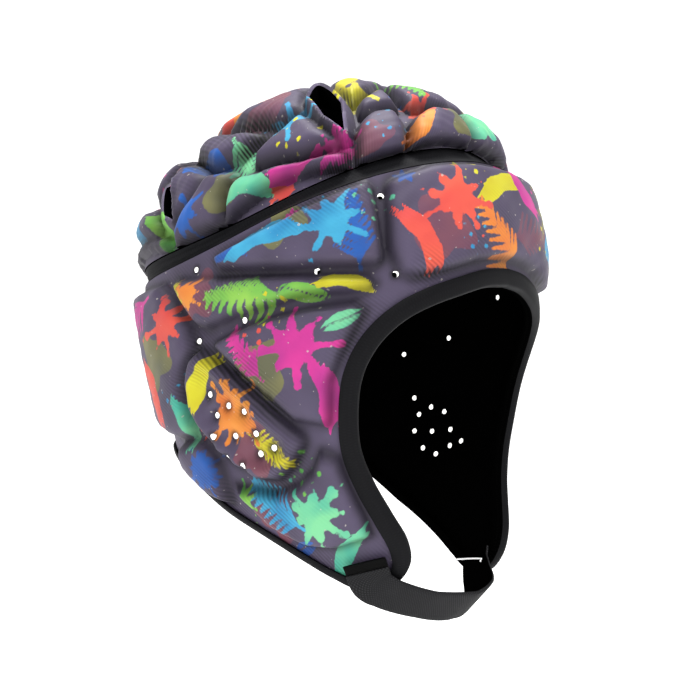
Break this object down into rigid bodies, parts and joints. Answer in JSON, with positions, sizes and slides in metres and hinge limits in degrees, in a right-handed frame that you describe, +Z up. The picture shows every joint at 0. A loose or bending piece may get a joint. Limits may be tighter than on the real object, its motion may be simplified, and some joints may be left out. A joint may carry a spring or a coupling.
{
  "type": "soft shell helmet",
  "caption": "Padded soft-shell headguard with quilted crown, ear and jaw pads, bound face opening and chin strap; worn to cushion knocks to the head.",
  "frame": {"origin": "where the top of the head meets the inside of the crown", "axes": "+Z up out of the crown, -Y towards the face, -X towards the wearer's right"},
  "size_m": [0.1796, 0.2128, 0.2587],
  "materials": {
    "printed_fabric": "matte knitted fabric bonded to foam, printed",
    "stretch_fabric": "matte black stretch fabric",
    "binding_tape": "matte black woven tape",
    "webbing": "charcoal woven webbing",
    "strap_end": "smooth black heat-cut tape"
  },
  "bodies": {
    "root": {"body_shell": "printed_fabric", "crown": "printed_fabric", "crown_band": "stretch_fabric", "edge_binding": "binding_tape", "chin_strap": "webbing", "strap_tab": "strap_end"}
  },
  "joints": []
}
